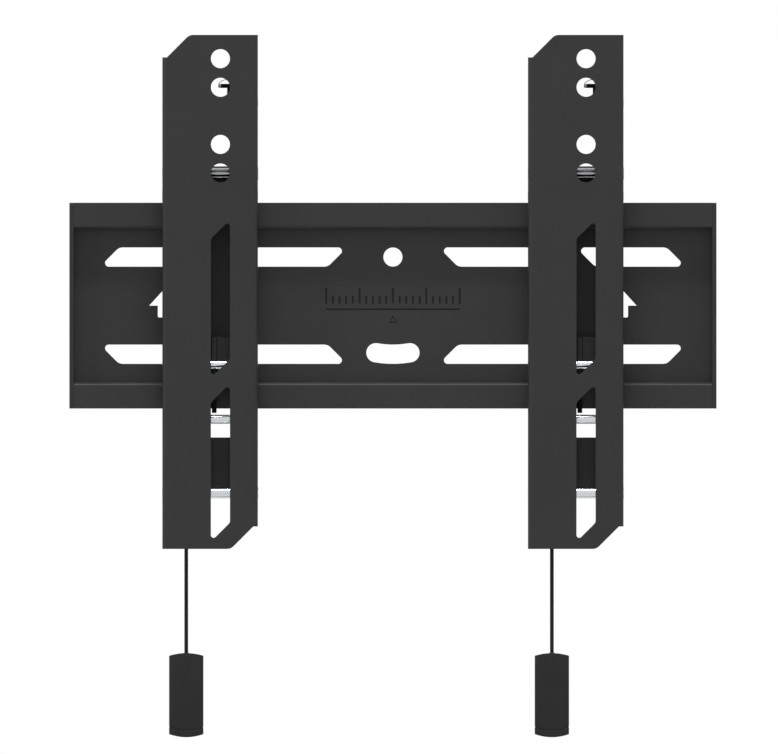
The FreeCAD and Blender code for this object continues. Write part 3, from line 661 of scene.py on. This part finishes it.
def turned(name, profile, centre):
    """A solid turned about a line along X; profile is places along it and radii there."""
    turns = [math.tau * n / TURNED_SIDES for n in range(TURNED_SIDES)]
    rings = []
    for along, radius in profile:
        rings.append([(along, radius * math.cos(turn), radius * math.sin(turn)) for turn in turns])
    mesh = skin(name, rings, [range(TURNED_SIDES)])
    mesh.set_sharp_from_angle(angle=TURNED_SHARP)
    mesh.transform(Matrix.Translation((0, centre.y, centre.z)))
    return mesh


def shoulder(end, out, radius):
    """A pin's end with its edge broken; out is 1 or -1."""
    return [(end - out * PIN_BEVEL, radius), (end, radius - PIN_BEVEL)]


def riveted(end, out, radius):
    """A pin's end with a neck through the flange, peened nearly flush outside with a dished middle."""
    neck = radius - NECK
    outside = end + out * FLANGE
    return [
        *shoulder(end, out, radius),
        (end, neck),
        (outside, neck),
        (outside, neck + PEEN_REACH),
        (outside + out * PEEN_HEIGHT, neck),
        (outside + out * PEEN_HEIGHT * DISH[0], neck * DISH[1]),
    ]


def headed(end, out, radius):
    """A pin's end that is upset over the flange's outside."""
    face = end - out * HEAD_HEIGHT
    return [
        (face, radius),
        (face, radius + HEAD_REACH),
        (face + out * HEAD_HEIGHT * HEAD_ROUND[0], radius + HEAD_REACH * HEAD_ROUND[1]),
        (end, radius - PIN_BEVEL),
    ]


def bright_pin(arm, part, body, finish, left_end, right_end):
    """A turned pin in the place of its plain CAD bar."""
    node = f"{arm}_{part}"
    low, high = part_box(node)
    radius = HEADED_PIN_RADIUS if right_end is headed else (high.z - low.z) / 2
    profile = [*reversed(left_end(low.x, -1, radius)), *right_end(high.x, 1, radius)]
    mesh = turned(f"{node}_turned", profile, middle(node))
    pin = new_piece(f"{node}_turned", mesh, finish, body)
    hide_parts(node)


for arm in ARMS:
    bright_pin(arm, "hook_pin", f"{arm}_arm", SHADED_ZINC, riveted, headed)
    bright_pin(arm, "stop_pin", f"{arm}_arm", PIN_ZINC, riveted, riveted)
    bright_pin(arm, "guide_pin", f"{arm}_arm", PIN_ZINC, riveted, headed)
    bright_pin(arm, "cord_bar", f"{arm}_latch", PIN_ZINC, shoulder, shoulder)


# Return springs
WIRE_SIDES = 12
SPRING_WIRE = 0.45 * MM
SPRING_COIL = 2.4 * MM
SPRING_TURNS = 26
SPRING_STEPS = 20
EYE_RADIUS = 3.0 * MM
EYE_SWEEP = 0.95 * math.tau
UPPER_EYE_START = math.radians(-72)
LOWER_EYE_START = math.radians(90)


def wire_tree():
    """Round wire along a chain of points."""
    tree, given = new_tree("round_wire", ("Wire radius",))
    line = add(tree, "GeometryNodeMeshToCurve", values={"Mesh": given["Geometry"]})
    close_tree(tree, tube(tree, line.outputs["Curve"], WIRE_SIDES, given["Wire radius"]), SPRING_STEEL)
    return tree


WIRE = wire_tree()


def spring_eye(centre, start):
    """Points of an eye round a pin that runs along X."""
    points = []
    for k in range(SPRING_STEPS):
        turn = start + EYE_SWEEP * k / SPRING_STEPS
        points.append(centre + Vector((0, EYE_RADIUS * math.cos(turn), EYE_RADIUS * math.sin(turn))))
    return points


def spring_coil(centre, upper, lower):
    """Points of a close coil about an upright line, between two heights."""
    points = []
    runs = SPRING_TURNS * SPRING_STEPS
    for k in range(runs + 1):
        turn = math.tau * k / SPRING_STEPS + math.pi / 2
        height = upper + (lower - upper) * k / runs
        points.append(Vector((
            centre.x + SPRING_COIL * math.cos(turn), centre.y + SPRING_COIL * math.sin(turn), height)))
    return points


def return_spring(arm):
    """The spring from the stop pin to the cord bar, wound as one fixed shape; on the real mount it
    stretches when the cord is pulled.
    """
    across = middle(f"{arm}_return_spring").x
    stop = middle(f"{arm}_stop_pin")
    bar = middle(f"{arm}_cord_bar")
    top = Vector((across, stop.y, stop.z))
    bottom = Vector((across, bar.y, bar.z))
    clear = EYE_RADIUS + 2 * SPRING_WIRE
    points = [
        *spring_eye(top, UPPER_EYE_START),
        *spring_coil(top, top.z - clear, bottom.z + clear),
        *spring_eye(bottom, LOWER_EYE_START),
    ]
    start = chain(f"{arm}_spring_line", points)
    mesh = grow(f"{arm}_wound_spring", WIRE, {"Wire radius": SPRING_WIRE}, start)
    spring = new_piece(f"{arm}_wound_spring", mesh, SPRING_STEEL)
    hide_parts(f"{arm}_return_spring")
    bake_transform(spring)


# Cord clips
CLIP_EDGE = 0.3 * MM
LEAF_LEFT = 9.3 * MM
LEAF_WALL = 2.0 * MM
FOOT_WALL = 3.0 * MM
FINGER_RADIUS = 1.15 * MM
FINGER_SINK = 0.3 * MM
TIP_LENGTH = 1.4 * MM
# Places along the finger and shares of its radius
TIP_PROFILE = ((-0.1 * MM, 0.5), (0.1 * MM, 0.8), (0.4 * MM, 0.97), (TIP_LENGTH, 0.97))
CLIP_WIRE = 0.24 * MM
# Millimetres along the finger and above its line
WIRE_RISE = ((0.1, 0.6), (0.6, 1.7), (1.7, 2.6), (3.0, 3.2), (4.6, 3.5), (8.0, 3.6), (19.6, 3.6))


def clip_leaf(arm):
    """The place along X where the clip's upright leaf begins."""
    return middle(f"{arm}_arm_channel").x + LEAF_LEFT


def clip_body(arm, low, high):
    """The clip's upright leaf and the foot under it."""
    leaf = clip_leaf(arm)
    outline = [
        (leaf, low.z), (high.x, low.z), (high.x, low.z + FOOT_WALL),
        (leaf + LEAF_WALL, low.z + FOOT_WALL), (leaf + LEAF_WALL, high.z), (leaf, high.z),
    ]
    mesh = extruded(f"{arm}_moulded_clip", outline, high.y, low.y, CLIP_EDGE)
    body = new_piece(f"{arm}_moulded_clip", mesh, NYLON, f"{arm}_arm")
    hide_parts(f"{arm}_cord_clip")


def clip_finger(arm, low, centre):
    """The clip's round finger with its bright tip."""
    finger = [(low.x + TIP_LENGTH, FINGER_RADIUS), (clip_leaf(arm) + FINGER_SINK, FINGER_RADIUS)]
    mesh = turned(f"{arm}_clip_finger", finger, centre)
    new_piece(f"{arm}_clip_finger", mesh, NYLON, f"{arm}_arm")
    tip = [(low.x + along, FINGER_RADIUS * share) for along, share in TIP_PROFILE]
    mesh = turned(f"{arm}_clip_tip", tip, centre)
    new_piece(f"{arm}_clip_tip", mesh, SHADED_ZINC, f"{arm}_arm")


def clip_wire(arm, low, centre):
    """The fine wire over the finger."""
    places = [(low.x + along * MM, centre.y, centre.z + up * MM) for along, up in WIRE_RISE]
    mesh = grow(f"{arm}_clip_wire", WIRE, {"Wire radius": CLIP_WIRE}, chain("rise", places))
    new_piece(f"{arm}_clip_wire", mesh, SPRING_STEEL, f"{arm}_arm")


def cord_clip(arm):
    """The moulded clip behind the second hole."""
    low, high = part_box(f"{arm}_cord_clip")
    centre = Vector((0, (low.y + high.y) / 2, high.z - FINGER_RADIUS))
    clip_body(arm, low, high)
    clip_finger(arm, low, centre)
    clip_wire(arm, low, centre)


for arm in ARMS:
    return_spring(arm)
    cord_clip(arm)


# Centring scale
SCALE_HALF = 36.5 * MM
SCALE_STEP = 3.65 * MM
SCALE_LINE = -1.85 * MM
SCALE_FOOT = 1.2 * MM
SCALE_SHORT = 4.2 * MM
SCALE_LONG = 8.6 * MM
LONG_EVERY = 5.0
COUNT_MARGIN = 0.4
RIB_RADIUS = 0.56 * MM
RIB_SIDES = 12
RIB_FLAT = 0.3
MARK_RADIUS = 2.2 * MM
MARK_DROP = -7.9 * MM
MARK_TURN = (math.radians(90), math.radians(-90), 0)
PANEL_FRONT = -1.5 * MM


def scale_tree():
    """A row of ribs with every fifth one longer, over a long rib with a three-cornered centre mark."""
    tree, given = new_tree("centring_scale", (
        "Half length", "Step", "Short", "Long", "Rib radius", "Mark radius"))
    right = given["Half length"]
    left = reckon(tree, "MULTIPLY", right, -1.0)
    steps = reckon(tree, "DIVIDE", reckon(tree, "MULTIPLY", right, 2.0), given["Step"])
    row = add(tree, "GeometryNodeMeshLine", values={
        "Count": reckon(tree, "ADD", steps, 1 + COUNT_MARGIN),
        "Start Location": vector(tree, X=left, Z=SCALE_FOOT), "Offset": vector(tree, X=given["Step"])})
    index = add(tree, "GeometryNodeInputIndex").outputs["Index"]
    minor = reckon(tree, "GREATER_THAN", reckon(tree, "MODULO", index, LONG_EVERY), 0.5)
    height = spread(tree, minor, given["Long"], given["Short"])
    stroke = add(tree, "GeometryNodeCurvePrimitiveLine", values={"Start": (0, 0, 0), "End": (0, 0, 1)})
    strokes = add(tree, "GeometryNodeInstanceOnPoints", values={
        "Points": row.outputs["Mesh"], "Instance": stroke.outputs["Curve"],
        "Scale": vector(tree, X=1.0, Y=1.0, Z=height)})
    real = add(tree, "GeometryNodeRealizeInstances", values={"Geometry": strokes.outputs["Instances"]})
    base = add(tree, "GeometryNodeCurvePrimitiveLine", values={
        "Start": vector(tree, X=left, Z=SCALE_LINE), "End": vector(tree, X=right, Z=SCALE_LINE)})
    mark = moved(tree, circle(tree, 3, given["Mark radius"]), Translation=(0, 0, MARK_DROP),
                 Rotation=MARK_TURN)
    lines = joined(tree, real.outputs["Geometry"], base.outputs["Curve"], mark)
    ribs = tube(tree, lines, RIB_SIDES, given["Rib radius"])
    close_tree(tree, moved(tree, ribs, Scale=(1, RIB_FLAT, 1)), SCALE_SHADE_COAT)
    return tree


def centring_scale():
    """A plain scale pressed into the rail's middle, to find the centre by. Its near-black coat is painted
    shade, for the shade that pressed marks hold.
    """
    sizes = {"Half length": SCALE_HALF, "Step": SCALE_STEP, "Short": SCALE_SHORT,
             "Long": SCALE_LONG, "Rib radius": RIB_RADIUS, "Mark radius": MARK_RADIUS}
    mesh = grow("centring_scale", scale_tree(), sizes, dots("scale_start", [(0, 0, 0)]))
    mesh.transform(Matrix.Translation((0, PANEL_FRONT, 0)))
    new_piece("centring_scale", mesh, SCALE_SHADE_COAT, "rail")


centring_scale()


# Spot welds and the clips' studs
WELD_RADIUS = 2.3 * MM
WELD_RIM = 0.4 * MM
WELD_CROWN = 0.3 * WELD_RADIUS
WELD_SIDES = 28
WELD_RIM_SIDES = 8
WELD_CROWN_SIDES = 16
WELD_CROWN_RINGS = 8
WELD_FLAT = 0.16
WELD_DEPTH = 8 * MM
WELD_RISES = (6 * MM, 15 * MM)
STUD_RADIUS = 2.4 * MM
STUD_RISE = 7 * MM
# Shares of the peen's height and of the stud's radius
STUD_CROWN = ((0.0, 1.0), (0.4, 0.9), (0.6, 0.3))


def weld_tree():
    """A shallow ring and crown at each point, on faces square to X."""
    tree, given = new_tree("spot_welds", ("Weld radius", "Rim radius", "Crown radius"))
    ring = circle(tree, WELD_SIDES, given["Weld radius"])
    rim = tube(tree, ring, WELD_RIM_SIDES, given["Rim radius"])
    crown = add(tree, "GeometryNodeMeshUVSphere", values={
        "Segments": WELD_CROWN_SIDES, "Rings": WELD_CROWN_RINGS, "Radius": given["Crown radius"]})
    low = moved(tree, joined(tree, rim, crown.outputs["Mesh"]), Scale=(1, 1, WELD_FLAT))
    upright = moved(tree, low, Rotation=(0, math.radians(90), 0))
    spots = add(tree, "GeometryNodeInstanceOnPoints", values={
        "Points": given["Geometry"], "Instance": upright})
    close_tree(tree, spots.outputs["Instances"], ARM_COAT)
    return tree


WELDS = weld_tree()


def spot_welds(arm):
    """Two welds on each flange, which hold the hook bracket's cheeks."""
    low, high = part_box(f"{arm}_arm_channel")
    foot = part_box(f"{arm}_hook_bracket")[0].z
    places = [(side, low.y + WELD_DEPTH, foot + rise) for side in (low.x, high.x) for rise in WELD_RISES]
    sizes = {"Weld radius": WELD_RADIUS, "Rim radius": WELD_RIM, "Crown radius": WELD_CROWN}
    mesh = grow(f"{arm}_spot_welds", WELDS, sizes, dots("weld_places", places))
    new_piece(f"{arm}_spot_welds", mesh, ARM_COAT, f"{arm}_arm")


def clip_stud(arm):
    """The clip's stud, pressed through the flange and nearly flush outside."""
    low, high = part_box(f"{arm}_cord_clip")
    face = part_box(f"{arm}_arm_channel")[1].x
    centre = Vector((0, (low.y + high.y) / 2, low.z + STUD_RISE))
    neck = STUD_RADIUS - NECK
    profile = [(face - FLANGE, neck), (face, neck)]
    profile += [(face + PEEN_HEIGHT * up, STUD_RADIUS * share) for up, share in STUD_CROWN]
    mesh = turned(f"{arm}_clip_stud", profile, centre)
    new_piece(f"{arm}_clip_stud", mesh, NYLON, f"{arm}_arm")


for arm in ARMS:
    spot_welds(arm)
    clip_stud(arm)


# Painted shade: a black sleeve on the slider's middle hook stands for the shade that the hook lies in; the
# first values give the hook's own sizes and place
HOOK_LEFT = 1.0 * MM
HOOK_WIDTH = 2.5 * MM
HOOK_FOOT = -58.65 * MM
HOOK_FRONT = -19.65 * MM
HOOK_BACK = -14.5 * MM
SLEEVE_WALL = 0.06 * MM
SLEEVE_HEIGHT = 14.5 * MM
SLEEVE_EDGE = 0.25 * MM


def hook_shade_sleeve(arm):
    """A thin black sleeve round the slider's middle hook, which paints the shade that the hook lies in
    behind the arm.
    """
    left = middle(f"{arm}_arm_channel").x + HOOK_LEFT - SLEEVE_WALL
    right = left + HOOK_WIDTH + 2 * SLEEVE_WALL
    low = HOOK_FOOT - SLEEVE_WALL
    high = low + SLEEVE_HEIGHT
    outline = [(left, low), (right, low), (right, high), (left, high)]
    back = HOOK_BACK + SLEEVE_WALL
    front = HOOK_FRONT - SLEEVE_WALL
    mesh = extruded(f"{arm}_hook_shade_sleeve", outline, back, front, SLEEVE_EDGE)
    new_piece(f"{arm}_hook_shade_sleeve", mesh, NYLON, f"{arm}_latch")


for arm in ARMS:
    hook_shade_sleeve(arm)


# Rim where the cord goes into the grip
RIM_RADIUS = 1.3 * MM
RIM_WIRE = 0.22 * MM
RIM_SIDES = 36
RIM_WIRE_SIDES = 10


def cord_rim(arm):
    """A small raised rim round the cord on top of the grip."""
    spot = middle(f"{arm}_pull_cord")
    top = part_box(f"{arm}_pull_handle")[1].z
    rings = []
    for n in range(RIM_SIDES):
        turn = math.tau * n / RIM_SIDES
        ring = []
        for k in range(RIM_WIRE_SIDES):
            lean = math.tau * k / RIM_WIRE_SIDES
            reach = RIM_RADIUS + RIM_WIRE * math.cos(lean)
            height = top + RIM_WIRE * math.sin(lean)
            ring.append((spot.x + reach * math.cos(turn), spot.y + reach * math.sin(turn), height))
        rings.append(ring)
    mesh = skin(f"{arm}_cord_rim", rings)
    new_piece(f"{arm}_cord_rim", mesh, GRIP_PLASTIC, f"{arm}_latch")


for arm in ARMS:
    cord_rim(arm)


# The CAD nodes' own finishes and broken edges
def dress_node(name, material):
    """Give a CAD node its finish."""
    mesh = frame["nodes"][name].data
    mesh.materials.clear()
    mesh.materials.append(material)


for entry in frame["record"]["subparts"]:
    dress_node(entry["node"], FINISHES[entry["material_slot"]])

soften("wall_plate", SHEET_EDGE)
for arm in ARMS:
    for part in ("arm_channel", "hook_bracket", "lock_slider"):
        soften(f"{arm}_{part}", SHEET_EDGE)
    for part in ("end_cap", "cord_anchor"):
        soften(f"{arm}_{part}", MOULDED_EDGE)


# Stage and light: the floor's place in metres and its greys, and the strengths of what glows
FLOOR_DROP = 1.3
FLOOR_REACH = 12.0
FLOOR_DARK = 0.84
FLOOR_PALE = 0.86
FLOOR_SHOW = 0.4
SIDE_GLOW = 0.42
FRONT_GLOW = 5.7
BEAM = 28.0
WHITE = (1, 1, 1, 1)


def on_show(tree):
    """1 where a place is seen straight, in a gloss or through glass, and 0 where it only gives light."""
    path = add(tree, "ShaderNodeLightPath").outputs
    seen = reckon(tree, "MAXIMUM", path["Is Camera Ray"], path["Is Glossy Ray"])
    return reckon(tree, "MAXIMUM", seen, path["Is Transmission Ray"])


def floor():
    """A wide pale floor under the hanging mount."""
    material, tree, spot = new_finish("pale_floor")
    colour = tint(tree, grains(tree, spot, size=0.2), ((0.3, FLOOR_DARK), (0.7, FLOOR_PALE)))
    normal = relief(tree, grains(tree, spot, size=0.01), depth=0.01 * MM)
    paler = spread(tree, on_show(tree), low=0.0, high=FLOOR_SHOW)
    close_finish(tree, colour, rough=0.7, normal=normal, values={
        "Emission Color": WHITE, "Emission Strength": paler})
    mesh = bpy.data.meshes.new("floor")
    level = CAD_LOW.z - FLOOR_DROP
    ways = ((-1, -1), (1, -1), (1, 1), (-1, 1))
    corners = [(FLOOR_REACH * across, FLOOR_REACH * along, level) for across, along in ways]
    mesh.from_pydata(corners, [], [(0, 1, 2, 3)])
    mesh.materials.append(material)
    put("floor", mesh)


def surround():
    """A soft light from all round, stronger square on, which the camera and bright metal see as white."""
    world = bpy.data.worlds.new("studio")
    bpy.context.scene.world = world
    world.use_nodes = True
    tree = world.node_tree
    tree.nodes.clear()
    way = add(tree, "ShaderNodeTexCoord").outputs["Generated"]
    front = add(tree, "ShaderNodeSeparateXYZ", values={"Vector": way}).outputs["Y"]
    beam = reckon(tree, "POWER", reckon(tree, "ABSOLUTE", front), BEAM)
    glow = spread(tree, beam, SIDE_GLOW, FRONT_GLOW)
    strength = add(tree, "ShaderNodeMix", {"data_type": "FLOAT"}, {
        "Factor": on_show(tree), "A": glow, "B": 1.0})
    light = add(tree, "ShaderNodeBackground", values={
        "Color": WHITE, "Strength": strength.outputs["Result"]})
    add(tree, "ShaderNodeOutputWorld", values={"Surface": light.outputs["Background"]})


def softbox(name, spot, width, height, power):
    """An oblong lamp at a place, turned towards the rail's middle."""
    lamp = bpy.data.lights.new(name, "AREA")
    lamp.shape = "RECTANGLE"
    lamp.size = width
    lamp.size_y = height
    lamp.energy = power
    thing = put(name, lamp)
    thing.location = spot
    thing.rotation_mode = "QUATERNION"
    thing.rotation_quaternion = (-Vector(spot)).to_track_quat("-Z", "Y")
    thing.visible_camera = False


floor()
surround()
softbox("overhead", spot=(0, -0.72, 1.86), width=0.6, height=0.2, power=25)
softbox("left_strip", spot=(-1.5, -1.1, 0.1), width=0.3, height=0.9, power=3)
softbox("right_strip", spot=(1.5, -1.1, 0.1), width=0.3, height=0.9, power=0.6)
bpy.context.scene.view_settings.view_transform = "Standard"
